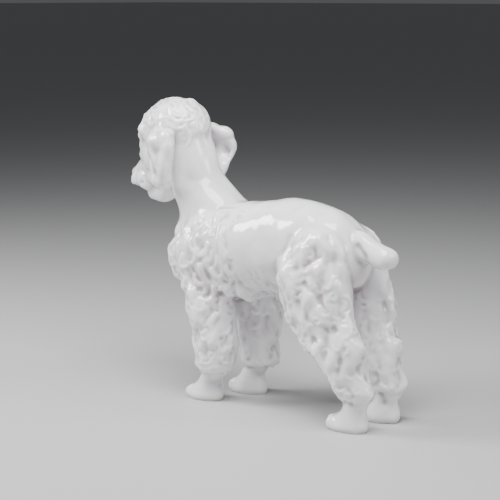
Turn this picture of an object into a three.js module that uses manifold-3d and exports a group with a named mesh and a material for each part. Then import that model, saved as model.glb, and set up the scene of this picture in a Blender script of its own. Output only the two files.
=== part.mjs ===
// A glazed porcelain poodle, standing four-square, built as the slip-cast pieces that a pottery
// lutes together before firing: torso, neck with head, two ears, four legs and a tail.
// Millimetres, +Z up. The dog faces -Y and its left side is +X. The soles stand on z = 0.
import * as THREE from "three";
import { mergeVertices } from "three/addons/utils/BufferGeometryUtils.js";
import Module from "manifold-3d";

const wasm = await Module();
wasm.setup();

// ---- Driving dimensions -------------------------------------------------------------------

const stance = { length: 99, width: 27 }; // paw centre to paw centre, fore to hind and side to side
const foreStep = 4; // how far the left forepaw stands ahead of the line, and the right one behind it
const backHeight = 116.5; // sole to the top of the back
const chestOverhang = 34; // the breast stands this far ahead of the forepaws
const rumpInset = 1; // the rump ends this far ahead of the hind paws
const barrelSize = { width: 51, depth: 55 };
const paw = { length: 23.5, width: 16.5, height: 11.5 };
const legGirth = 1; // 1 is the coat as modelled, more is a fuller trouser of curls
const thighSway = 2.6; // the right thigh stands out and back by this much more than the left one
const headSize = { length: 47, width: 36, height: 36 };
const headRise = 32.5; // from the back up to the middle of the skull
const headReach = 38.5; // from the forepaws forward to the middle of the skull
const headYaw = THREE.MathUtils.degToRad(-9); // the head looks a little to the dog's right
const headPitch = THREE.MathUtils.degToRad(29); // how steeply the foreface points down
const muzzleLength = 47.5; // from the middle of the skull to the nose
const neckGirth = 1;
const earLength = 36;
const tailLength = 30;
const wall = 3.2; // thickness of the cast clay
const lutingGap = 0.3; // the layer of joining slip between two castings
const ventRadius = 2.2; // the hole that lets the kiln gases out of the belly
const neckHoleRadius = 8; // the hole pierced through the torso inside the neck joint

// Stations that follow from them.
const foreY = -stance.length / 2;
const hindY = stance.length / 2;
const chestY = foreY - chestOverhang;
const rumpY = hindY - rumpInset;
const side = stance.width / 2;
const headCentre = new THREE.Vector3(1, foreY - headReach, backHeight + headRise);

// ---- Lofted bodies ------------------------------------------------------------------------

const around = 20; // facets round a section
const between = 2; // rings for each pair of sections

// A Catmull-Rom value between sections, so that the profile runs smoothly through each of them.
function smooth(rows, row, share, column) {
  const at = (i) => rows[Math.min(Math.max(i, 0), rows.length - 1)][column];
  const [p0, p1, p2, p3] = [at(row - 1), at(row), at(row + 1), at(row + 2)];
  const t = share;
  return 0.5 * (2 * p1 + (p2 - p0) * t + (2 * p0 - 5 * p1 + 4 * p2 - p3) * t * t
    + (3 * p1 - p0 - 3 * p2 + p3) * t * t * t);
}

// A closed body through sections [height, x, y, half width in x, half width in y], bottom to top.
// It is flat where a first or last section has a size, and runs to a point where it has none.
// A shell of the same shape is had by taking `inset` off every half width.
function loft(sections, { inset = 0, fullness = 2.2, facets = around } = {}) {
  const rows = [];
  sections.forEach((section, i) => {
    rows.push(section);
    for (let k = 1; k < between && i < sections.length - 1; k++) {
      rows.push(section.map((_, column) => smooth(sections, i, k / between, column)));
    }
  });
  const positions = [];
  const index = [];
  const rings = rows.map(([height, x, y, a, b]) => {
    const wide = Math.max(a - inset, 0.3);
    const deep = Math.max(b - inset, 0.3);
    const first = positions.length / 3;
    for (let k = 0; k < facets; k++) {
      const angle = (2 * Math.PI * k) / facets;
      const c = Math.cos(angle);
      const s = Math.sin(angle);
      const round = (Math.abs(c) ** fullness + Math.abs(s) ** fullness) ** (-1 / fullness);
      positions.push(x + wide * round * c, y + deep * round * s, height);
    }
    return first;
  });
  for (let r = 0; r + 1 < rings.length; r++) {
    for (let k = 0; k < facets; k++) {
      const next = (k + 1) % facets;
      index.push(rings[r] + k, rings[r] + next, rings[r + 1] + next);
      index.push(rings[r] + k, rings[r + 1] + next, rings[r + 1] + k);
    }
  }
  [rows[0], rows[rows.length - 1]].forEach(([height, x, y], end) => {
    const pole = positions.length / 3;
    const ring = rings[end * (rings.length - 1)];
    positions.push(x, y, height);
    for (let k = 0; k < facets; k++) {
      const next = (k + 1) % facets;
      index.push(pole, ring + (end ? k : next), ring + (end ? next : k));
    }
  });
  return new THREE.BufferGeometry()
    .setAttribute("position", new THREE.Float32BufferAttribute(positions, 3))
    .setIndex(index);
}

// A loft whose sections are stacked from the chest to the rump, along +Y, and not upwards.
// Its sections are [y, x, z, half width, half height].
function lengthwise(sections, options) {
  return loft(sections.map(([y, x, z, a, b]) => [y, x, -z, a, b]), options).rotateX(-Math.PI / 2);
}

// ---- Booleans -----------------------------------------------------------------------------

function solid(geometry) {
  const bare = geometry.clone();
  bare.deleteAttribute("normal");
  bare.deleteAttribute("uv");
  const merged = mergeVertices(bare, 1e-4);
  return new wasm.Manifold(new wasm.Mesh({
    numProp: 3,
    vertProperties: merged.attributes.position.array,
    triVerts: new Uint32Array(merged.index.array),
  }));
}

function geometryOf(manifold) {
  const mesh = manifold.getMesh();
  const geometry = new THREE.BufferGeometry()
    .setAttribute("position", new THREE.BufferAttribute(mesh.vertProperties, 3))
    .setIndex(new THREE.BufferAttribute(mesh.triVerts, 1));
  geometry.computeVertexNormals();
  return geometry;
}

// A round hole through the clay, from one point to another.
function hole(from, to, radius) {
  const along = new THREE.Vector3().subVectors(to, from);
  const turn = new THREE.Quaternion().setFromUnitVectors(
    new THREE.Vector3(0, 1, 0), along.clone().normalize(),
  );
  const middle = new THREE.Vector3().addVectors(from, to).multiplyScalar(0.5);
  return solid(new THREE.CylinderGeometry(radius, radius, along.length(), 16)
    .applyQuaternion(turn).translate(middle.x, middle.y, middle.z));
}

// ---- Torso --------------------------------------------------------------------------------

// Sections of the barrel at shares of its length from the breast, with the drop of its middle
// below the back, and its half width and half depth as shares of the full ones.
const barrel = [
  [0.0, 37.5, 0.0, 0.0],
  [0.019, 37.5, 0.26, 0.164],
  [0.062, 37.0, 0.4, 0.291],
  [0.135, 36.0, 0.495, 0.409],
  [0.228, 34.5, 0.52, 0.473],
  [0.322, 32.5, 0.5, 0.5],
  [0.426, 30.5, 0.47, 0.482],
  [0.54, 26.4, 0.435, 0.462],
  [0.654, 23.6, 0.41, 0.433],
  [0.768, 24.0, 0.405, 0.409],
  [0.87, 25.8, 0.38, 0.375],
  [0.945, 28.2, 0.32, 0.298],
  [0.985, 28.8, 0.2, 0.182],
  [1.0, 28.8, 0.0, 0.0],
].map(([share, drop, half, tall]) => [
  chestY + share * (rumpY - chestY), 0, backHeight - drop,
  half * barrelSize.width, tall * barrelSize.depth,
]);

const torsoSkin = solid(lengthwise(barrel));
const torsoSeat = solid(lengthwise(barrel.map(([y, ...rest], i, all) => {
  const end = i === 0 ? -lutingGap : i === all.length - 1 ? lutingGap : 0;
  return [y + end, ...rest];
}), { inset: -lutingGap }));

// The hollow stops a wall's thickness short of the chest and the rump.
const hollowBarrel = barrel.slice(1, -1).map(([y, ...rest], i, all) => {
  const end = i === 0 ? wall : i === all.length - 1 ? -wall : 0;
  return [y + end, ...rest];
});
const torsoHollow = solid(lengthwise(hollowBarrel, { inset: wall, facets: 18 }));

// ---- Neck and head ------------------------------------------------------------------------

// Sections of the neck: height over the back, offset to the left, how far their middle is ahead
// of the forepaws, half width and half depth. It is luted into the withers and the skull.
const neck = [
  [-28.5, 0, 0, 17, 22],
  [-20.5, 0, 3, 19, 28.6],
  [-12.5, 0, 5.6, 17.6, 26.2],
  [-3.5, 0.3, 14.3, 15.8, 21.9],
  [4.5, 0.6, 20.6, 14.6, 17.2],
  [headRise - 21, 0.8, headReach - 14, 14, 15.7],
  [headRise - 13, 1, headReach - 11.5, 13.8, 15.6],
  [headRise - 5, 1, headReach - 8.3, 14, 15],
  [headRise + 3, 1, headReach - 4.5, 13, 14],
].map(([rise, x, ahead, a, b]) => [
  backHeight + rise, x, foreY - ahead, a * neckGirth, b * neckGirth,
]);

// Places a geometry made round the middle of the skull, with the dog's nose towards -Y.
function atHead(geometry, pitch = 0) {
  return geometry.rotateX(pitch).rotateZ(headYaw).translate(...headCentre.toArray());
}

// The crown of brushed-up curls over the skull.
const half = { x: headSize.width / 2, y: headSize.length / 2, z: headSize.height / 2 };
function crownAt(inset, facets = 22) {
  const shape = new THREE.SphereGeometry(1, facets, facets / 2).rotateX(Math.PI / 2);
  return atHead(shape.scale(half.x - inset, half.y - inset, half.z - inset), 0.2);
}

// The foreface, from between the eyes down to the nose, and the lower jaw with its beard.
const muzzle = [
  [-muzzleLength, 0, -8.4, 0, 0],
  [1 - muzzleLength, 0, -8.4, 3.8, 3.8],
  [4 - muzzleLength, 0, -8.6, 5.4, 5.8],
  [9.5 - muzzleLength, 0, -9, 6, 6.4],
  [-33, 0, -9, 7, 7.2],
  [-24, 0, -9, 9, 9.6],
  [-12, 0, -8, 13, 13.4],
  [4, 0, -4, 13, 13],
  [6, 0, -4, 0, 0],
];
const jaw = [
  [17 - muzzleLength, 0, -35.4, 0, 0],
  [18 - muzzleLength, 0, -35.4, 2.6, 2.4],
  [22.5 - muzzleLength, 0, -36.2, 4.2, 4.4],
  [30.5 - muzzleLength, 0, -36.6, 5.4, 6],
  [-9, 0, -34.5, 6.8, 7.6],
  [-1, 0, -27, 9, 11],
  [5, 0, -18, 9, 10],
];

// The cheeks fill out the face under the crown.
const cheeks = { width: 11.5, length: 12.5, height: 13, ahead: 11, below: 10 };

// The skin of the head, or its seat for what is luted to it when it is grown.
function skullAt(growth) {
  const face = new THREE.SphereGeometry(1, 18, 10)
    .scale(cheeks.width + growth, cheeks.length + growth, cheeks.height + growth)
    .translate(0, -cheeks.ahead, -cheeks.below);
  return solid(crownAt(-growth))
    .add(solid(atHead(face)))
    .add(solid(atHead(lengthwise(muzzle, { inset: -growth }), headPitch)))
    .add(solid(atHead(lengthwise(jaw, { inset: -growth }))));
}

const headSkin = skullAt(0).add(solid(loft(neck)));
const headHollow = solid(crownAt(wall + 1, 14)).add(solid(loft(neck, { inset: wall, facets: 14 })));
const headSeat = skullAt(lutingGap).add(solid(loft(neck, { inset: -lutingGap })));

// ---- Ears ---------------------------------------------------------------------------------

// Sections from the tip up to the root, as shares of the ear's length below the skull's middle,
// with how far the leather stands outside the skull's side and how far back from its middle.
const leftEar = [
  [0.9, 0, 12.6, 0, 0],
  [0.88, 0, 12.6, 2, 4],
  [0.82, 0.8, 12.5, 2.9, 6.3],
  [0.68, 1.5, 12.4, 3.4, 7.6],
  [0.52, 2, 13, 3.8, 8.6],
  [0.3, 2, 12.6, 4.8, 11.4],
  [0.1, 0.8, 10.2, 5, 11.4],
  [-0.04, -2.4, 8, 4.6, 8],
  [-0.09, -4.5, 7, 3.2, 4.6],
  [-0.11, -5, 6.8, 0, 0],
];
const rightEar = [
  [0.8, 1, 12.4, 0, 0],
  [0.78, 1, 12.4, 2, 3.2],
  [0.71, 2.2, 12, 2.8, 5.2],
  [0.57, 4.6, 11, 3.6, 7.4],
  [0.43, 8, 10.2, 4.4, 9],
  [0.3, 9.8, 9.2, 4.8, 10],
  [0.17, 9, 7.8, 5.2, 10.2],
  [0.05, 5.6, 6.3, 5.8, 9.4],
  [-0.06, 0.4, 4.8, 5.4, 7.2],
  [-0.11, -4, 4, 3.6, 4.4],
  [-0.125, -5, 4, 0, 0],
];
function ear(rows, side) {
  const sections = rows.map(([share, out, back, a, b]) => [
    -share * earLength, side * (half.x + out), back, a, b,
  ]);
  return solid(atHead(loft(sections, { facets: 16 })));
}

// ---- Legs ---------------------------------------------------------------------------------

// A paw with its flat, ground sole, as the first sections of a leg, round the paw's middle.
function pawSections(x, y) {
  const w = paw.width / 2;
  const l = paw.length / 2;
  return [
    [0, x, y, w * 0.86, l * 0.88],
    [1.2, x, y, w * 0.97, l * 0.97],
    [paw.height * 0.3, x, y, w, l],
    [paw.height * 0.62, x, y + l * 0.14, w * 0.9, l * 0.8],
    [paw.height, x, y + l * 0.3, w * 0.77, l * 0.56],
  ];
}

// Leg sections above the paw: share of the way from the paw's top to the back, offset outwards,
// offset back from the paw's middle, half width and half depth.
const foreCoat = [
  [0.038, 0.2, 6, 6.8, 7.4],
  [0.067, 0.5, 8, 9.2, 10.2],
  [0.138, 0.8, 8.6, 10.4, 11.6],
  [0.243, 1.2, 8.2, 11.4, 12.8],
  [0.348, 1.4, 6, 12, 13.8],
  [0.443, 1.2, 3.6, 12, 14],
  [0.538, 0.4, 0, 11.6, 14.4],
  [0.652, -0.6, -4, 10.6, 14],
  [0.729, -1.6, -4.6, 8, 10],
];
const hindCoat = [
  [0.029, -0.2, 4.6, 6.6, 7.4],
  [0.062, 0.4, 4.4, 8.6, 8.8],
  [0.119, 0.6, 2.9, 9.4, 10],
  [0.186, 1, -2.2, 10.4, 13.2],
  [0.262, 1.4, -6.8, 11.6, 16.6],
  [0.357, 1.6, -13.2, 12.2, 19],
  [0.452, 1.6, -18.4, 12.8, 20.8],
  [0.538, 1.4, -22, 13.4, 22],
  [0.633, 1, -24, 13.6, 22.4],
  [0.729, 0, -24.5, 12.6, 21],
  [0.814, -1.6, -24.5, 9.4, 16],
];

// `sway` carries the widest part of the thigh outwards and back.
function legSections(x, y, side, coat, sway) {
  return [
    ...pawSections(x, y),
    ...coat.map(([share, out, back, a, b]) => {
      const z = paw.height + share * (backHeight - paw.height);
      const shift = sway * Math.exp(-(((share - 0.519) / 0.21) ** 2));
      return [z, x + side * (out + shift), y + back + shift, a * legGirth, b * legGirth];
    }),
  ];
}

// The coats of a left and a right leg stop short of the middle line, a gap apart.
function otherSide(side) {
  const block = new THREE.BoxGeometry(100, 2 * stance.length + 100, 2 * backHeight);
  return solid(block.translate(side * (lutingGap / 2 - 50), 0, 0));
}

// A leg is closed at the paw, hollow inside its coat and open where it is luted to the torso.
function leg(x, y, side, coat, sway = 0) {
  const sections = legSections(x, y, side, coat, sway);
  const firstHollow = pawSections(x, y).length + 2;
  const hollow = solid(loft(sections.slice(firstHollow, -1), { inset: wall, facets: 14 }));
  return solid(loft(sections)).subtract(hollow).subtract(torsoSeat).subtract(otherSide(side));
}

const forelegLeft = leg(side, foreY - foreStep, 1, foreCoat);
const forelegRight = leg(-side, foreY + foreStep, -1, foreCoat);
const hindlegLeft = leg(side, hindY, 1, hindCoat);
const hindlegRight = leg(-side, hindY, -1, hindCoat, thighSway);

// ---- Tail ---------------------------------------------------------------------------------

// Sections at shares of the tail's length past its root inside the rump, with their drop below
// the back, half width and half height.
const tailRootY = rumpY - 10;
const tail = [
  [0.0, 19.4, 4.5, 5],
  [0.1, 19.6, 6, 7],
  [0.32, 21.2, 6.6, 8.2],
  [0.52, 23.6, 6.4, 7],
  [0.72, 25.6, 6.4, 6],
  [0.88, 26, 5.8, 4.9],
  [0.975, 25.8, 3.6, 3],
  [1.0, 25.6, 0, 0],
].map(([share, drop, a, b]) => [tailRootY + share * tailLength, 0, backHeight - drop, a, b]);
const tailBody = solid(lengthwise(tail, { facets: 16 }));

// ---- Assembly -----------------------------------------------------------------------------

const bisque = new THREE.MeshStandardMaterial({ color: 0xeeecef, roughness: 0.12, metalness: 0 });
const figurine = new THREE.Group();

function piece(name, manifold) {
  const mesh = new THREE.Mesh(geometryOf(manifold), bisque.clone());
  mesh.name = name;
  figurine.add(mesh);
}

const belly = new THREE.Vector3(0, 4, backHeight - 48);
const ventHole = hole(belly, belly.clone().setZ(backHeight - 24), ventRadius);
const neckHole = hole(
  new THREE.Vector3(0, foreY - 5, backHeight - 26), new THREE.Vector3(0, foreY - 8, backHeight + 8),
  neckHoleRadius,
);

piece("torso", torsoSkin.subtract(torsoHollow).subtract(ventHole).subtract(neckHole));
piece("neck_and_head", headSkin.subtract(headHollow).subtract(torsoSeat));
piece("ear_left", ear(leftEar, 1).subtract(headSeat));
piece("ear_right", ear(rightEar, -1).subtract(headSeat));
piece("foreleg_left", forelegLeft);
piece("foreleg_right", forelegRight);
piece("hindleg_left", hindlegLeft);
piece("hindleg_right", hindlegRight);
piece("tail", tailBody.subtract(torsoSeat));

// The origin is on the ground, under the middle of the figure.
const middle = new THREE.Box3().setFromObject(figurine).getCenter(new THREE.Vector3());
figurine.children.forEach((mesh) => mesh.geometry.translate(-middle.x, -middle.y, 0));

export default figurine;
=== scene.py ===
import math
import random

import bmesh
import bpy
import numpy as np
from mathutils import Euler, Matrix, Vector, noise
from mathutils.bvhtree import BVHTree
from mathutils.kdtree import KDTree


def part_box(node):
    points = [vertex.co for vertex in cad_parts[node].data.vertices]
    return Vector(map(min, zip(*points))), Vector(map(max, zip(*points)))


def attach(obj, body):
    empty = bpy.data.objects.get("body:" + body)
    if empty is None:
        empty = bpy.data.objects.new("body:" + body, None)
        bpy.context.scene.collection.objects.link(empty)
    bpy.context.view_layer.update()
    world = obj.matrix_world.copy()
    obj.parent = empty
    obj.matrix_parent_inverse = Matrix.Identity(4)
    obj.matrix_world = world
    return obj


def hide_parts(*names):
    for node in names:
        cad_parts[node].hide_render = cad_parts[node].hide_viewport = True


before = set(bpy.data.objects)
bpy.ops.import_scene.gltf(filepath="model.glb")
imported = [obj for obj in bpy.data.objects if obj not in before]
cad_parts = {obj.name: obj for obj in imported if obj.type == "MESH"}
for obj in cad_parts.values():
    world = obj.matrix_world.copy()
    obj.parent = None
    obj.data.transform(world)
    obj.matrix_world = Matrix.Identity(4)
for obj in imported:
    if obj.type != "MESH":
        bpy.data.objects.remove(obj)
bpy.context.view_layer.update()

# ---- Raw clay -----------------------------------------------------------------------------
# The figure starts as its leather-hard castings, set together with slip. The joints are pressed
# closed and sponged over, so that the dog is one skin of clay before the coat is modelled.
MM = 0.001
CLAY_GRAIN = 0.8 * MM  # how fine the first skin is
JOINT_PRESS = 0.22 * MM  # each casting swells this much into the slip between them


def only(piece):
    bpy.ops.object.select_all(action="DESELECT")
    piece.select_set(True)
    bpy.context.view_layer.objects.active = piece


def work(piece, kind, **settings):
    only(piece)
    modifier = piece.modifiers.new(kind.title(), kind)
    for name, value in settings.items():
        setattr(modifier, name, value)
    bpy.ops.object.modifier_apply(modifier=modifier.name)


def press_together(pieces, name):
    bpy.ops.object.select_all(action="DESELECT")
    for piece in pieces:
        piece.select_set(True)
    bpy.context.view_layer.objects.active = pieces[0]
    bpy.ops.object.join()
    pieces[0].name = name
    return pieces[0]


def tidy_shell(piece):
    """Keeps the largest shell, so that nothing is left inside the clay."""
    only(piece)
    bpy.ops.mesh.separate(type="LOOSE")
    parts = [p for p in bpy.context.selected_objects if p.type == "MESH"]
    parts.sort(key=lambda p: p.dimensions.length, reverse=True)
    for scrap in parts[1:]:
        bpy.data.objects.remove(scrap)
    return parts[0]


def casting_copy(name):
    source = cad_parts[name]
    copy = bpy.data.objects.new("clay_" + name, source.data.copy())
    bpy.context.scene.collection.objects.link(copy)
    only(copy)
    bpy.ops.object.mode_set(mode="EDIT")
    bpy.ops.mesh.select_all(action="SELECT")
    bpy.ops.mesh.remove_doubles(threshold=0.02 * MM)
    bpy.ops.object.mode_set(mode="OBJECT")
    copy.data.materials.clear()
    return copy


def pellet(middle, radii, turn=(0, 0, 0), around=None):
    """A lump of clay: its middle and radii in millimetres, its turn in degrees."""
    bpy.ops.object.select_all(action="DESELECT")
    bpy.ops.mesh.primitive_uv_sphere_add(segments=28, ring_count=18, radius=1)
    lump = bpy.context.object
    place = Matrix.LocRotScale(
        Vector(middle) * MM,
        Euler([math.radians(t) for t in turn]),
        Vector(radii) * MM,
    )
    if around is not None:
        place = around @ place
    lump.data.transform(place)
    return lump


clay = []
for casting in sorted(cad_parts):
    copy = casting_copy(casting)
    work(copy, "SUBSURF", levels=1, render_levels=1)
    work(copy, "DISPLACE", strength=JOINT_PRESS, mid_level=0)
    clay.append(copy)

# The dog's own axes: x from its spine to its left, y from midway between its paws to the tail.
torso_low, torso_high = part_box("torso")
tail_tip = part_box("tail")[1].y
dog = Matrix.Translation(((torso_low.x + torso_high.x) / 2, tail_tip - 68.5 * MM, 0))

# A plug of clay stops the vent until the figure is finished.
clay.append(pellet((0, 4, 70.5), (7, 7, 3.5), around=dog))

# ---- Head ---------------------------------------------------------------------------------
# The face is modelled by pressing pellets of clay on the casting: nose, lips, brows, cheeks, a
# fringe over the brow and a beard. The head looks a little to the dog's right. The eyes are set
# in later, when the coat has been kneaded.
HEAD_YAW = -9
head = (
    dog
    @ Matrix.Translation(Vector((1, -88, 149)) * MM)
    @ Matrix.Rotation(math.radians(HEAD_YAW), 4, "Z")
)

face = [
    pellet((0, -37.6, -27.4), (4.3, 3.8, 3.8), (29, 0, 0), head),  # nose
    pellet((0, -38.2, -32.2), (3.7, 3.4, 3.2), (0, 0, 0), head),  # middle of the upper lip
    pellet((0, -28, -20.4), (4.4, 11, 3.6), (31, 0, 0), head),  # bridge
    pellet((0, -19, -37.6), (5.2, 9, 4.6), (0, 0, 0), head),  # beard
    pellet((0, -24.6, -35.6), (4.4, 4.4, 2.4), (0, 0, 0), head),  # lower lip
]
for s in (-1, 1):
    face += [
        pellet((s * 3.6, -34.4, -31.4), (3.0, 3.8, 3.6), (0, 0, s * 14), head),  # upper lip
        pellet((s * 4.8, -29.6, -30), (3.4, 6.4, 4.8), (8, 0, s * 10), head),
        pellet((s * 5.6, -21, -30), (4.2, 9, 6.2), (0, 0, s * 8), head),
        pellet((s * 7.6, -20.6, -3.2), (4.8, 2.8, 2.2), (0, s * 12, s * 20), head),  # brow
        pellet((s * 11.8, -17.2, -3.8), (2.6, 2.8, 1.8), (0, 0, 0), head),
        pellet((s * 11, -15.2, -8.8), (3.6, 4, 4.6), (0, 0, 0), head),  # temple
        pellet((s * 10.2, -15.2, -14.4), (4.0, 4.4, 5.4), (10, 0, 0), head),  # cheek
        pellet((s * 8.6, -14.8, -20.4), (4.4, 4.8, 5.4), (24, 0, 0), head),
        pellet((s * 11, -8.5, -13), (5, 8.5, 9.5), (10, 0, 0), head),
        pellet((s * 7.6, -8, -26), (5, 9, 6.5), (0, 0, 0), head),
    ]
for o, b, u, r in (
    (-14, -10.5, 1.4, 4.2), (-9, -16.4, 1.2, 4.6), (-3, -18.6, 1.8, 4.6), (3.4, -18.4, 1, 4.6),
    (9.4, -16.4, -0.6, 4.5), (13.8, -11.4, -0.6, 4.2), (6, -14.6, 7, 5), (-6, -14.4, 7.4, 5),
    (0, -9, 12, 6), (-3.5, 8.5, 15, 3.6),
):
    face.append(pellet((o, b, u), (r, r * 0.9, r * 0.9), (0, 0, 0), head))  # fringe and crown
clay += face

# ---- Ears ---------------------------------------------------------------------------------
# The left ear hangs on the cheek, a boss of hair over a folded flap. The right ear swings out
# and tucks its tip back in. Both are luted on and worked over with the thumb.
clay += [
    pellet((21.2, 8.6, -4.4), (4.2, 7.4, 4.6), (0, 0, 0), head),
    pellet((20.8, 17.6, -6.5), (4.0, 7.4, 9.5), (8, 0, 0), head),
    pellet((22.4, 17, -17.5), (3.2, 4.6, 10.6), (-8, 0, 0), head),
    pellet((22.0, 7.8, -18.5), (2.6, 2.6, 8.6), (6, 0, 0), head),
    pellet((22, 11.6, -26.4), (3.0, 6.6, 4.4), (0, 0, 0), head),
    pellet((-25.4, 10.4, -2.8), (5.8, 8.2, 4.8), (0, -24, 0), head),
    pellet((-28.4, 10.6, -9.2), (3.4, 7.4, 4.8), (0, 14, 0), head),
]

# ---- Legs and paws ------------------------------------------------------------------------
# Four paws with toes, hocks that stand out through the coat, and a rolled cuff of curls round
# each leg over the bare pastern.
paws = {
    "foreleg_left": (13.5, -53.5), "foreleg_right": (-13.5, -45.5),
    "hindleg_left": (13.5, 49.5), "hindleg_right": (-13.5, 49.5),
}
random.seed(3)
for name, (x, y) in paws.items():
    s = 1 if x > 0 else -1
    for across, ahead, long in ((-5.3, -6.6, 3.9), (-1.9, -8.6, 4.1), (1.9, -8.6, 4.1), (5.3, -6.6, 3.9)):
        clay.append(pellet((x + across, y + ahead, 3.6), (2.2, long, 3.8), (0, 0, across * 2), dog))
    fore = name.startswith("fore")
    behind, deep, rise = (8.2, 8.8, 21.0) if fore else (3.8, 6.8, 21.4)
    for turn in range(0, 360, 36):
        way = math.radians(turn)
        r = random.uniform(2.6, 3.5)
        arch = 0 if fore else 2.2 * math.cos(way * 2)
        clay.append(pellet(
            (
                x + s * 0.6 + 6.8 * math.sin(way),
                y + behind + deep * math.cos(way),
                rise - arch + random.uniform(-0.7, 0.7),
            ),
            (r, r, r * 1.05), around=dog,
        ))
    if not fore:
        clay.append(pellet((x, y + 8.8, 11), (2.4, 2.4, 9), around=dog))  # tendon
clay += [
    pellet((15.8, 52.2, 42), (7.4, 7.4, 6), around=dog),  # hocks
    pellet((-15.2, 55.2, 40.6), (6.6, 7, 7), around=dog),
    pellet((15.5, 39, 33), (7.5, 6, 5), around=dog),
    pellet((-15, 41, 32), (7.5, 6, 5), around=dog),
    pellet((15.5, 22, 62), (8, 8, 7), around=dog),  # stifles
    pellet((-16.5, 24, 62), (8, 8, 7), around=dog),
]

# ---- Body ---------------------------------------------------------------------------------
# The hollow barrel is a plain casting, so the shoulders, the haunches, the foot of the neck, the
# root of the tail and the edge of the coat on the thighs are filled out with clay.
for s in (-1, 1):
    clay += [
        pellet((s * 16, -48, 88), (9, 15, 18), (12, 0, 0), dog),
        pellet((s * 13.5, 27, 90), (10.5, 19, 16), (0, s * 8, 0), dog),
        pellet((s * 15, -41, 69), (8.5, 12, 12), (0, 0, 0), dog),
    ]
    for y, z, r in ((19.6, 94.5, 3.4), (16.2, 87.5, 4), (14.2, 79.5, 4.4), (14.9, 71, 4.6)):
        clay.append(pellet((s * 17.6, y, z), (r, r, r * 1.4), around=dog))  # edge of the coat
clay.append(pellet((0, 42, 97), (7.5, 13, 7), (-22, 0, 0), dog))
for x, y, z in ((0, -78, 92.5), (9, -74.5, 94), (-9, -74.5, 94)):
    clay.append(pellet((x, y, z), (7, 5, 6), around=dog))  # foot of the neck

figure = press_together(clay, "clay")
work(figure, "REMESH", mode="VOXEL", voxel_size=CLAY_GRAIN)
figure = tidy_shell(figure)
work(figure, "SMOOTH", factor=0.5, iterations=10)


# ---- Thumb and tool marks -----------------------------------------------------------------
# The joints and the cheeks are sponged smooth first. Then come dents from the modeller's thumb
# and lines from a blunt wooden tool: the mouth, the fold of the left ear, the hollow of the right
# one, between the toes, behind the withers and round the pasterns.
def along_line(piece, line, width, place):
    """The skin's points, and how much of a tool mark of this width each takes, from 0 to 1."""
    surface = BVHTree.FromObject(piece, bpy.context.evaluated_depsgraph_get())
    path = [surface.find_nearest(place @ (Vector(p) * MM))[0] for p in line]
    points = np.empty(len(piece.data.vertices) * 3)
    piece.data.vertices.foreach_get("co", points)
    points = points.reshape(-1, 3)
    near = np.full(len(points), 1e9)
    for start, end in zip(path, path[1:] or path):
        start, end = np.array(start), np.array(end)
        along = end - start
        share = np.clip((points - start) @ along / max(along @ along, 1e-12), 0, 1)
        near = np.minimum(near, np.linalg.norm(points - start - share[:, None] * along, axis=1))
    return points, np.exp(-((near / (width * MM)) ** 2))


def score(piece, line, width, depth, around=None):
    """Presses the skin in along a line of points in millimetres, or out where depth is negative."""
    points, share = along_line(piece, line, width, around or dog)
    normals = np.empty(points.size)
    piece.data.vertex_normals.foreach_get("vector", normals)
    points -= normals.reshape(-1, 3) * (share * depth * MM)[:, None]
    piece.data.vertices.foreach_set("co", points.ravel())
    piece.data.update()


def sponge(piece, line, width, passes, around=None):
    """Sponges the skin smooth along a line of points in millimetres."""
    _, share = along_line(piece, line, width, around or dog)
    wet = piece.vertex_groups.new(name="wet")
    for index in np.flatnonzero(share > 0.05).tolist():
        wet.add([index], float(share[index]), "REPLACE")
    work(piece, "SMOOTH", vertex_group="wet", factor=0.6, iterations=passes)
    piece.vertex_groups.clear()


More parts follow.
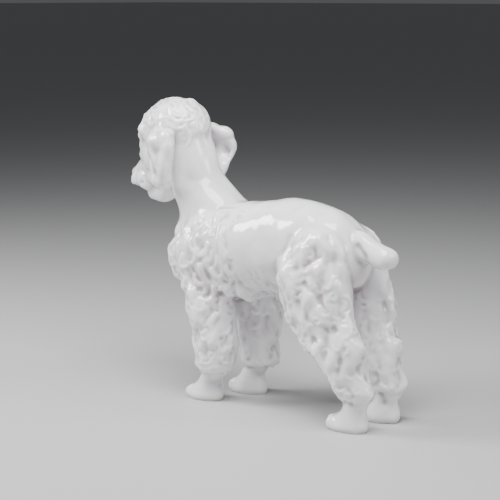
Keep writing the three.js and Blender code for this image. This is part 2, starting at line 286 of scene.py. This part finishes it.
collar_ring = [
    (18 * math.sin(t), -62 + 18 * math.cos(t), 102.5 + 8.7 * math.cos(t))
    for t in (i * math.pi / 8 for i in range(17))
]
sponge(figure, collar_ring, 5.5, 120)
sponge(figure, [(15, 25, -9), (8, 31, -8), (0, 33, -8), (-8, 31, -8), (-15, 25, -9)], 6, 110, head)
sponge(figure, [(-14, -12, 3), (-9, -18, 2), (0, -21, 2), (9, -18, 1), (14, -12, 1)], 3.4, 12, head)
for s in (-1, 1):
    sponge(figure, [(s * 14, -12, -8), (s * 13, -13, -15), (s * 11, -13, -22)], 4, 24, head)
    sponge(figure, [(s * 24, -26, 66), (s * 22, -40, 70), (s * 14, -56, 70)], 6, 50)
    sponge(figure, [(s * 24, 16, 98), (s * 22, 26, 106), (s * 20, 38, 106)], 6, 50)
for line, width, depth in (
    ([(0, -41.5, -36), (4, -36.5, -35.6), (6.8, -29, -33.8), (8.6, -21, -31)], 0.9, 1.5),  # mouth
    ([(0, -41.5, -36), (-4, -36.5, -35.6), (-6.8, -29, -33.8), (-8.6, -21, -31)], 0.9, 1.5),
    ([(3, -43, -30.4), (4.2, -40.2, -30)], 0.8, 0.5),  # under the nose
    ([(-3, -43, -30.4), (-4.2, -40.2, -30)], 0.8, 0.5),
    ([(3, -43, -30.4), (0, -44, -31), (-3, -43, -30.4)], 0.7, 0.6),
    ([(0, -44, -31), (0, -44, -35)], 0.6, 0.7),
    ([(2, -44, -28.2), (3.2, -43, -28)], 0.7, 0.9),  # nostrils
    ([(-2, -44, -28.2), (-3.2, -43, -28)], 0.7, 0.9),
    ([(6.6, -24, -7.8)], 2.6, 1.0),  # eye sockets
    ([(-6.6, -24, -7.8)], 2.6, 1.0),
    ([(0, -25, -8), (0, -25, -13)], 2.6, 0.9),  # stop
    ([(-3, -29, -38), (0, -30, -37.5), (3, -29, -38), (5, -26, -38)], 3.0, 2.0),  # below the lip
    ([(24, 11.5, -10.2)], 3.6, 1.8),  # left ear
    ([(24, 4.4, -12.6), (24, 8.4, -16.5), (24, 10.8, -22), (24, 11.6, -29)], 1.7, 0.9),
    ([(24, 22, -3), (24, 15, -9)], 2.0, 0.5),
    ([(22, 27, -3), (18, 29, 2), (12, 30, 3)], 1.4, 0.5),
    ([(18, 4.6, -30.5), (18.6, 9.6, -32.6), (18.6, 17, -32), (18, 20.5, -29)], 1.3, 1.9),  # under its tip
    ([(-20, 17.5, -11.5), (-24, 19, -13.5)], 4.0, 3.6),  # right ear
    ([(-24, 16.5, -17), (-26, 14, -21)], 2.2, 0.8),
    ([(14, 25.3, -8.1)], 2.4, 0.55),  # nape
    ([(14, 34.2, -0.5)], 2.6, 0.7),
    ([(14, 36, -22)], 5, 0.7),
    ([(14, 27.4, -23.6)], 3.4, 0.6),
    ([(8, 22, 8)], 4, 0.6),
    ([(15, 12, 9)], 4, 0.4),
):
    score(figure, line, width, depth, head)
for x, y in paws.values():
    for across in (-3.6, 0, 3.6):
        between_toes = [(x + across, y - 13, 2), (x + across, y - 11.4, 5.4), (x + across * 0.9, y - 5, 9.4)]
        score(figure, between_toes, 0.55, 0.8)
    pastern_y = y + (8 if y < 0 else 5)
    ring = [
        (x + 8 * math.sin(t), pastern_y + 8 * math.cos(t), 15.6)
        for t in (i * math.pi / 6 for i in range(13))
    ]
    score(figure, ring, 1.6, 0.7)
for s in (-1, 1):
    score(figure, [(s * 4, -30, 118), (s * 11, -34, 115), (s * 16, -42, 112)], 0.9, 0.7)  # withers
    flank = [(s * 24, 13.5, 101), (s * 24, 9.5, 92), (s * 24, 7, 83), (s * 22, 6, 75)]
    score(figure, flank, 1.8, 0.5)
for line, width, depth in (
    ([(26, 51.6, 38.8)], 2.6, 1.6), ([(26, 51, 34)], 2.2, 1.0), ([(26, 36.9, 47.1)], 2.4, 1.6),
    ([(26, 37, 38)], 2.2, 1.7), ([(26, 37, 57.5), (26, 44, 54.5), (26, 50, 55)], 2.0, 1.1),
    ([(26, 29, 97.5), (26, 36, 96.5)], 2.0, 1.0), ([(26, 30, 77), (26, 38, 71), (26, 41, 67)], 1.8, 1.0),
    ([(22, 53, 60), (22, 50, 75), (22, 48, 90)], 3.0, 0.8), ([(26, 24, 84), (26, 31, 88)], 2.2, 0.9),
    ([(21, 49.5, 15), (21, 52.5, 17.4), (21, 56, 16.2)], 2.2, 1.5),
    ([(-7, 57, 12), (-6.5, 55, 16)], 2.4, 1.3), ([(-26, 50, 40)], 2.8, 1.5),
    ([(-26, 34, 60), (-26, 40, 56)], 2.4, 1.2), ([(-26, 28, 94), (-26, 36, 92)], 2.2, 1.0),
    ([(25, -50, 40)], 2.6, 1.1), ([(25, -40, 50), (25, -38, 56)], 2.2, 1.0), ([(-25, -44, 36)], 2.6, 1.2),
    ([(26, -30, 68), (24, -22, 66)], 2.6, 1.2),
):
    score(figure, line, width, depth)
score(figure, [(-5, 53, 92), (0, 55, 91), (5, 53, 92), (8, 49, 97)], 1.7, 1.3)  # under the tail
score(figure, [(3.5, 50, 101), (4, 60, 97.5), (3, 65, 95)], 1.0, -0.35)
score(figure, [(26, 3, 76), (26, -8, 73)], 5, 0.5)

# ---- Coat of curls ------------------------------------------------------------------------
# The coat is kneaded into soft lumps and then laid on lock by lock: rolls of slip, each bent
# to a hook and pressed into the skin, over the breast, the shoulders and the legs down to the
# cuffs. A soft brush and the glaze then round them off.
LOCK_STEPS = 9
COAT_GRAIN = 0.58 * MM


def ramp(value, low, high):
    t = min(max((value - low) / (high - low), 0.0), 1.0)
    return t * t * (3 - 2 * t)


def breast_coat(point):
    """How much long coat grows at a point of the breast and shoulders, from 0 to 1."""
    x, y, z = (point - dog.translation) / MM
    if y > -10 or z < 60:
        return 0
    collar = 112.8 - 0.0133 * min(y + 38, 0) ** 2
    return ramp(collar - z, 0, 9) * ramp(-19.7 - (z - 67) * 0.11 - y, 0, 6)


def leg_coat(point):
    """How much curled coat grows at a point of the legs and thighs, from 0 to 1."""
    x, y, z = (point - dog.translation) / MM
    outer = 0.72 + 0.28 * ramp(abs(x), 8, 16)
    if y < -10:
        return ramp(z, 17.5, 20.5) * ramp(68 - z, 0, 6) * outer
    if z < 66:
        return ramp(z, 17.5, 20.5) * outer
    top = 107 - 0.026 * (y - 34) ** 2
    front = 7 + max(0.0, z - 75) * 0.3
    outside = (
        ramp(abs(x), 13, 18) * ramp(y, front, front + 4)
        * ramp(top - z, 0, 6) * ramp(54 - y, 0, 9)
    )
    return max(outside, ramp(80 - z, 0, 18) * 0.9)


def lay_locks(skin, spots, length, girth, relief, curl, name):
    """Rolls of slip on the skin, each from one spot along a bending line."""
    surface = BVHTree.FromObject(skin, bpy.context.evaluated_depsgraph_get())
    rolls = bpy.data.curves.new(name, "CURVE")
    rolls.dimensions = "3D"
    rolls.bevel_depth = MM
    rolls.bevel_resolution = 1
    rolls.use_fill_caps = True
    for spot, way, share in spots:
        place, normal, _, _ = surface.find_nearest(spot)
        heading = (way - normal * way.dot(normal)).normalized()
        heading.rotate(Matrix.Rotation(random.gauss(0, curl), 3, normal))
        bend = random.choice((-1, 1)) * random.uniform(0.3, 0.8) * curl
        reach = length * random.uniform(0.7, 1.3) / LOCK_STEPS
        thick = girth * random.uniform(0.7, 1.3)
        raised = relief * random.uniform(0.6, 1.25) * share
        line = rolls.splines.new("POLY")
        line.points.add(LOCK_STEPS - 1)
        for i in range(LOCK_STEPS):
            along = i / (LOCK_STEPS - 1)
            swell = 0.45 + 0.75 * math.sin(math.pi * min(along * 0.9 + 0.12, 1.0)) ** 0.8
            sunk = raised * min(swell, 1) - thick * swell
            line.points[i].co = (*(place + normal * sunk * MM), 1)
            line.points[i].radius = thick * swell
            place, normal, _, _ = surface.find_nearest(place + heading * reach * MM)
            heading.rotate(Matrix.Rotation(bend * (0.6 + 1.1 * along), 3, normal))
            heading = (heading - normal * heading.dot(normal)).normalized()
    holder = bpy.data.objects.new(name, rolls)
    bpy.context.scene.collection.objects.link(holder)
    only(holder)
    bpy.ops.object.convert(target="MESH")
    return bpy.context.object


def scatter(skin, weight, spacing, way):
    """Spots on the skin at least a spacing apart, each with the way and the height of its lock."""
    cells = {}
    spots = []
    order = list(range(len(skin.data.vertices)))
    random.shuffle(order)
    for index in order:
        point = skin.data.vertices[index].co
        share = weight(point)
        if share < 0.3:
            continue
        key = tuple(int(math.floor(c / (spacing * MM))) for c in point)
        near = (
            other
            for dx in (-1, 0, 1) for dy in (-1, 0, 1) for dz in (-1, 0, 1)
            for other in cells.get((key[0] + dx, key[1] + dy, key[2] + dz), ())
        )
        if all((point - other).length > spacing * MM for other in near):
            cells.setdefault(key, []).append(point.copy())
            spots.append((point.copy(), way(point) if callable(way) else way, share))
    return spots


def knead(piece, lumps):
    """Raises and sinks the skin in soft lumps: each a weight, a size and a height in millimetres."""
    moved = []
    for vertex in piece.data.vertices:
        shift = 0
        for weight, size, height in lumps:
            share = weight(vertex.co)
            if share > 0:
                spot = vertex.co / (size * MM)
                spot.z *= 0.62
                shift += share * height * noise.noise(spot + Vector((size, 0, 0)))
        moved.append(vertex.co + vertex.normal * shift * MM)
    piece.data.vertices.foreach_set("co", [c for point in moved for c in point])
    piece.data.update()


def crown(point):
    o, b, u = (head.inverted() @ point) / MM
    return ramp(u, 0, 5) * ramp(20 - b, -6, 2)


def belly_coat(point):
    x, y, z = (point - dog.translation) / MM
    return 1 if -26 < y < 8 and z < 80 - abs(y + 9) * 0.2 and z > 58 and abs(x) > 9 else 0


def cheek_hair(point):
    o, b, u = (head.inverted() @ point) / MM
    return 0.8 if -20 < b < 4 and -26 < u < 4 and abs(o) > 8.5 and abs(o) < 18 else 0


def everywhere(point):
    return 1


knead(figure, (
    (leg_coat, 9, 2.6), (leg_coat, 5, 1.4),
    (breast_coat, 9, 1.6), (breast_coat, 5, 0.9),
    (everywhere, 11, 1.0),
))
random.seed(7)
laid = [figure]
for s in (-1, 1):
    laid += [
        pellet((s * 6.6, -20.4, -7.8), (2.3, 2.1, 1.8), (0, s * 10, s * 18), head),  # eyes in their lids
        pellet((s * 6.4, -21.2, -6.2), (2.9, 1.4, 0.7), (12, s * 14, s * 18), head),
        pellet((s * 6.8, -21.0, -9.3), (2.5, 1.2, 0.6), (-10, s * -4, s * 18), head),
    ]


def crown_way(point):
    """The crown's hair is combed out from its middle and back."""
    return Vector(((point - head.translation).x, 0.016, 0))


down = Vector((0, 0, -1))
for name, coat, spacing, way, length, girth, relief, curl in (
    ("breast_locks", breast_coat, 6.4, down, 13, 2.6, 1.15, 0.42),
    ("breast_hairs", breast_coat, 7.4, down, 9, 1.1, 0.75, 0.8),
    ("leg_locks", leg_coat, 7.4, down, 13, 2.9, 0.95, 0.6),
    ("leg_hairs", leg_coat, 7.0, down, 9, 1.0, 0.75, 0.9),
    ("belly_hairs", belly_coat, 3.2, Vector((0, 0.6, -1)), 6, 0.7, 0.4, 0.25),
    ("crown_waves", crown, 3.6, crown_way, 15, 1.2, 0.75, 0.4),
    ("cheek_hairs", cheek_hair, 3.8, Vector((0, 0.4, -1)), 8, 1.0, 0.45, 0.4),
):
    spots = scatter(figure, coat, spacing, way)
    laid.append(lay_locks(figure, spots, length, girth, relief, curl, name))
figure = press_together(laid, "clay")
work(figure, "REMESH", mode="VOXEL", voxel_size=COAT_GRAIN)
figure = tidy_shell(figure)
work(figure, "SMOOTH", factor=0.5, iterations=5)

# The soles are ground flat once the figure is fired.
GROUND_OFF = 0.7 * MM
for vertex in figure.data.vertices:
    if vertex.co.z < GROUND_OFF:
        vertex.co.z = 0

# ---- Stage --------------------------------------------------------------------------------
# A pale card under the figure, a dim grey room round it and three softboxes. The camera stands
# behind the dog on its left, a little above its back.
bpy.ops.object.select_all(action="DESELECT")
bpy.ops.mesh.primitive_plane_add(size=60)
floor = bpy.context.object
floor.name = "floor"
card = bpy.data.materials.new("pale_card")
card.use_nodes = True
card_shader = card.node_tree.nodes["Principled BSDF"]
card_shader.inputs["Base Color"].default_value = (0.46, 0.46, 0.465, 1)
card_shader.inputs["Roughness"].default_value = 0.6
floor.data.materials.append(card)

world = bpy.data.worlds.new("studio")
bpy.context.scene.world = world
world.use_nodes = True
world.node_tree.nodes["Background"].inputs["Color"].default_value = (0.8, 0.82, 0.85, 1)
world.node_tree.nodes["Background"].inputs["Strength"].default_value = 0.11

target = dog @ (Vector((0, -32.2, 85.2)) * MM)


def lamp(name, azimuth, elevation, distance, width, height, power):
    a, e = math.radians(azimuth), math.radians(elevation)
    away = Vector((math.sin(a) * math.cos(e), -math.cos(a) * math.cos(e), math.sin(e)))
    light = bpy.data.lights.new(name, "AREA")
    light.shape = "RECTANGLE"
    light.size, light.size_y, light.energy = width, height, power
    holder = bpy.data.objects.new(name, light)
    bpy.context.scene.collection.objects.link(holder)
    holder.location = target + away * distance
    holder.rotation_euler = away.to_track_quat("Z", "Y").to_euler()


lamp("softbox_front", 38, 34, 0.7, 0.26, 0.26, 6.5)
lamp("softbox_top", 128, 66, 0.55, 0.36, 0.36, 6.4)
lamp("softbox_rear", 200, 28, 0.9, 0.3, 0.3, 3.0)

CAMERA_AZIMUTH, CAMERA_ELEVATION = 132, 9  # degrees
CAMERA_DISTANCE = 0.9
FILM_WIDTH, CAMERA_LENS = 36, 116.5752  # millimetres
a, e = math.radians(CAMERA_AZIMUTH), math.radians(CAMERA_ELEVATION)
back = Vector((math.sin(a) * math.cos(e), -math.cos(a) * math.cos(e), math.sin(e)))
camera_data = bpy.data.cameras.new("camera")
camera_data.sensor_width = FILM_WIDTH
camera_data.lens = CAMERA_LENS
camera_data.clip_start = 0.01
camera = bpy.data.objects.new("camera", camera_data)
bpy.context.scene.collection.objects.link(camera)
camera.location = target + back * CAMERA_DISTANCE
camera.rotation_euler = back.to_track_quat("Z", "Y").to_euler()
bpy.context.scene.camera = camera

# ---- Castings -----------------------------------------------------------------------------
# The nine castings under the one skin: the head with its neck, two ears, four legs and the tail
# come away from the torso close to where the slip holds them. The slip leaves no seam to see.
only(figure)
bpy.ops.object.shade_smooth()


def block(name, turn, place, size):
    """A block to cut with: its turn about x and y in degrees, place and size in millimetres."""
    bpy.ops.object.select_all(action="DESELECT")
    bpy.ops.mesh.primitive_cube_add(size=1)
    cutter = bpy.context.object
    cutter.name = name
    cutter.data.transform(dog @ Matrix.LocRotScale(
        Vector(place) * MM, Euler([math.radians(t) for t in turn]), Vector(size) * MM,
    ))
    return cutter


def ear_block(name):
    """The ear's own casting, let out to take in the hair modelled on it."""
    cutter = casting_copy(name)
    work(cutter, "DISPLACE", strength=3.8 * MM, mid_level=0)
    work(cutter, "REMESH", mode="VOXEL", voxel_size=1.2 * MM)
    return tidy_shell(cutter)


SLIVER = 0.004 * MM  # a fin thinner than this is cleared


def trim(piece):
    """Clears the slivers that a cut leaves, so that the casting is one closed shell."""
    only(piece)
    bpy.ops.object.mode_set(mode="EDIT")
    bpy.ops.mesh.select_all(action="SELECT")
    bpy.ops.mesh.quads_convert_to_tris()
    bpy.ops.mesh.remove_doubles(threshold=SLIVER)
    bpy.ops.mesh.dissolve_degenerate(threshold=SLIVER)
    for _ in range(2):
        bpy.ops.mesh.select_all(action="DESELECT")
        bpy.ops.mesh.select_non_manifold()
        bpy.ops.mesh.delete(type="VERT")
        bpy.ops.mesh.select_all(action="SELECT")
        bpy.ops.mesh.fill_holes(sides=0)
        bpy.ops.mesh.quads_convert_to_tris()
    bpy.ops.mesh.normals_make_consistent(inside=False)
    bpy.ops.object.mode_set(mode="OBJECT")
    return tidy_shell(piece)


def cut_away(piece, cutter, name):
    """Parts a casting from the figure with a cutter; both stay closed."""
    part = piece.copy()
    part.data = piece.data.copy()
    part.name = name
    bpy.context.scene.collection.objects.link(part)
    work(part, "BOOLEAN", operation="INTERSECT", object=cutter, solver="MANIFOLD")
    work(piece, "BOOLEAN", operation="DIFFERENCE", object=cutter, solver="MANIFOLD")
    bpy.data.objects.remove(cutter)
    return part


def wedge(name, corners, side_x):
    """A block whose four-cornered outline (y, z) runs between two planes beside the spine.

    The corners marked true rise by the amount given with each plane."""
    mesh = bpy.data.meshes.new(name)
    form = bmesh.new()
    rings = []
    for x, rise in side_x:
        rings.append([
            form.verts.new(dog @ (Vector((x, y, z + (rise if top else 0))) * MM))
            for y, z, top in corners
        ])
    form.faces.new(rings[0])
    form.faces.new(reversed(rings[1]))
    count = len(corners)
    for i in range(count):
        j = (i + 1) % count
        form.faces.new((rings[0][j], rings[0][i], rings[1][i], rings[1][j]))
    bmesh.ops.recalc_face_normals(form, faces=form.faces)
    form.to_mesh(mesh)
    form.free()
    cutter = bpy.data.objects.new(name, mesh)
    bpy.context.scene.collection.objects.link(cutter)
    return cutter


whole = figure.copy()
whole.data = figure.data.copy()
castings = {}
castings["neck_and_head"] = cut_away(
    figure, block("cut", (19.3, 0, 0), (0, -77.5, 155.4), (120, 160, 100)), "neck_and_head",
)
for name in ("ear_left", "ear_right"):
    castings[name] = cut_away(castings["neck_and_head"], ear_block(name), name)
for name in ("foreleg_left", "foreleg_right"):
    s = 1 if name.endswith("left") else -1
    low, high = ((corner - dog.translation).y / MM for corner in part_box(name))
    castings[name] = cut_away(figure, wedge(
        "cut",
        ((low - 4, -5, False), (high + 4, -5, False), (high + 4, 57, True), (low - 4, 57, True)),
        ((s * 1.2, 0), (s * 40, 28.7)),
    ), name)
for name in ("hindleg_left", "hindleg_right"):
    s = 1 if name.endswith("left") else -1
    castings[name] = cut_away(figure, wedge(
        "cut",
        ((3, -5, False), (80, -5, False), (70, 65, True), (7, 65, True)),
        ((s * 1.2, 0), (s * 40, 52.8)),
    ), name)
castings["tail"] = cut_away(figure, block("cut", (-24, 0, 0), (0, 62.5, 95), (24, 30, 26)), "tail")
castings["torso"] = figure

# ---- Vent ---------------------------------------------------------------------------------
# The hole in the belly that lets the kiln gases out of the hollow figure. It is pierced through
# the wall with a needle tool while the clay is leather-hard.
VENT_RADIUS = 2.2 * MM
VENT_DEPTH = 12 * MM
bpy.ops.object.select_all(action="DESELECT")
bpy.ops.mesh.primitive_cylinder_add(vertices=32, radius=VENT_RADIUS, depth=VENT_DEPTH)
needle = bpy.context.object
needle.data.transform(dog @ Matrix.Translation(Vector((0, 4, 67)) * MM))
work(figure, "BOOLEAN", operation="DIFFERENCE", object=needle, solver="MANIFOLD")
bpy.data.objects.remove(needle)

# ---- Glaze --------------------------------------------------------------------------------
# A white feldspar glaze over the whole dog. Its colour is painted darker in the grooves between the locks,
# partly glaze pooling there and partly painted shade, and lighter over their tops, partly thinner glaze and
# partly painted light; it is wiped off the soles, where the body shows.
count = len(whole.data.vertices)
points = np.empty(count * 3)
whole.data.vertices.foreach_get("co", points)
points = points.reshape(-1, 3)
normals = np.empty(count * 3)
whole.data.vertex_normals.foreach_get("vector", normals)
normals = normals.reshape(-1, 3)
edges = np.empty(len(whole.data.edges) * 2, dtype=np.int64)
whole.data.edges.foreach_get("vertices", edges)
edges = edges.reshape(-1, 2)
links = np.maximum(np.bincount(edges.ravel(), minlength=count), 1)[:, None]


def spread(values):
    """Each vertex takes the mean of its neighbours."""
    total = np.zeros_like(values)
    for column in range(values.shape[1]):
        total[:, column] = (
            np.bincount(edges[:, 0], values[edges[:, 1], column], count)
            + np.bincount(edges[:, 1], values[edges[:, 0], column], count)
        )
    return total / links


# How far each point sinks into a groove or stands on a top; it drives the painted shade in the grooves and
# the painted light on the tops, as well as the glaze pooling.
around_points = points
for _ in range(4):
    around_points = spread(around_points)
near_depth = ((around_points - points) * normals).sum(axis=1)
for _ in range(16):
    around_points = spread(around_points)
far_depth = ((around_points - points) * normals).sum(axis=1)
depth = (near_depth / 0.16 + far_depth / 0.6)[:, None]
for _ in range(2):
    depth = spread(depth)
pooled_glaze_and_shade = np.clip(depth[:, 0] / MM, -1, 1) * 0.5 + 0.5

glaze = bpy.data.materials.new("white_glaze")
glaze.use_nodes = True
nodes, wires = glaze.node_tree.nodes, glaze.node_tree.links
shader = nodes["Principled BSDF"]
shader.inputs["IOR"].default_value = 1.52
shader.inputs["Subsurface Weight"].default_value = 0.06
shader.inputs["Subsurface Scale"].default_value = 0.003
shader.inputs["Subsurface Radius"].default_value = (1, 0.9, 0.8)
shader.inputs["Coat Weight"].default_value = 0.35
shader.inputs["Coat Roughness"].default_value = 0.04


def node(kind, **settings):
    made = nodes.new(kind)
    for name, value in settings.items():
        setattr(made, name, value)
    return made


def wire(source, target):
    wires.new(source, target)


def blend(low, high, share):
    """A colour between two others; low and high are sockets or colours."""
    mix = node("ShaderNodeMix", data_type="RGBA")
    wire(share, mix.inputs[0])
    for socket, colour in ((mix.inputs[6], low), (mix.inputs[7], high)):
        if isinstance(colour, tuple):
            socket.default_value = (*colour, 1)
        else:
            wire(colour, socket)
    return mix.outputs[2]


def curve(source, points, interpolation="LINEAR"):
    """A grey ramp over a value: points of (position, value)."""
    tones = node("ShaderNodeValToRGB")
    tones.color_ramp.interpolation = interpolation
    stops = tones.color_ramp.elements
    while len(stops) < len(points):
        stops.new(0.5)
    for stop, (position, value) in zip(stops, points):
        stop.position = position
        stop.color = (value, value, value, 1)
    wire(source, tones.inputs[0])
    return tones.outputs[0]


place = node("ShaderNodeTexCoord").outputs["Object"]


def mottle(scale, detail=2.0):
    cloud = node("ShaderNodeTexNoise")
    cloud.inputs["Scale"].default_value = scale
    cloud.inputs["Detail"].default_value = detail
    wire(place, cloud.inputs["Vector"])
    return cloud.outputs[0]


# The grooves are painted darker, partly pooled glaze and partly painted shade; the tops of the locks are
# painted lighter, partly thin glaze and partly painted light.
pool_and_shade = node("ShaderNodeAttribute", attribute_name="pooled_glaze_and_shade").outputs["Fac"]
tone = blend((0.88, 0.86, 0.875), (0.83, 0.805, 0.83), curve(mottle(55), ((0.4, 0), (0.62, 1))))
tone = blend(tone, (0.44, 0.38, 0.41), curve(pool_and_shade, ((0.5, 0), (0.75, 0.38), (1, 0.8))))
tone = blend(tone, (0.94, 0.93, 0.945), curve(pool_and_shade, ((0.2, 0.7), (0.47, 0))))
height = node("ShaderNodeSeparateXYZ")
wire(place, height.inputs[0])
sole = curve(height.outputs["Z"], ((0.0004, 1), (0.0007, 0)))
wire(blend(tone, (0.70, 0.66, 0.60), sole), shader.inputs["Base Color"])
gloss = blend((0.06, 0.06, 0.06), (0.17, 0.17, 0.17), curve(mottle(90), ((0.35, 0), (0.7, 1))))
wire(blend(gloss, (0.75, 0.75, 0.75), sole), shader.inputs["Roughness"])
ripple = node("ShaderNodeBump")
ripple.inputs["Strength"].default_value = 0.5
ripple.inputs["Distance"].default_value = 0.0006
wire(mottle(110, 1.0), ripple.inputs["Height"])
orange_peel = node("ShaderNodeBump")
orange_peel.inputs["Strength"].default_value = 0.12
orange_peel.inputs["Distance"].default_value = 0.0001
wire(mottle(700, 1.0), orange_peel.inputs["Height"])
wire(ripple.outputs[0], orange_peel.inputs["Normal"])
wire(orange_peel.outputs[0], shader.inputs["Normal"])

tree = KDTree(count)
for index, point in enumerate(points):
    tree.insert(point, index)
tree.balance()
bpy.context.scene.collection.objects.link(whole)
for name, piece in castings.items():
    piece = trim(piece)
    piece.name = name + "_casting"
    work(
        piece, "DATA_TRANSFER", object=whole, use_loop_data=True,
        data_types_loops={"CUSTOM_NORMAL"}, loop_mapping="POLYINTERP_NEAREST",
    )
    layer = piece.data.attributes.new("pooled_glaze_and_shade", "FLOAT", "POINT")
    layer.data.foreach_set("value", [pooled_glaze_and_shade[tree.find(v.co)[1]] for v in piece.data.vertices])
    piece.data.materials.clear()
    piece.data.materials.append(glaze)
    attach(piece, "root")
    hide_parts(name)
    print(name, len(piece.data.vertices), sum(len(p.vertices) - 2 for p in piece.data.polygons))
bpy.data.objects.remove(whole)
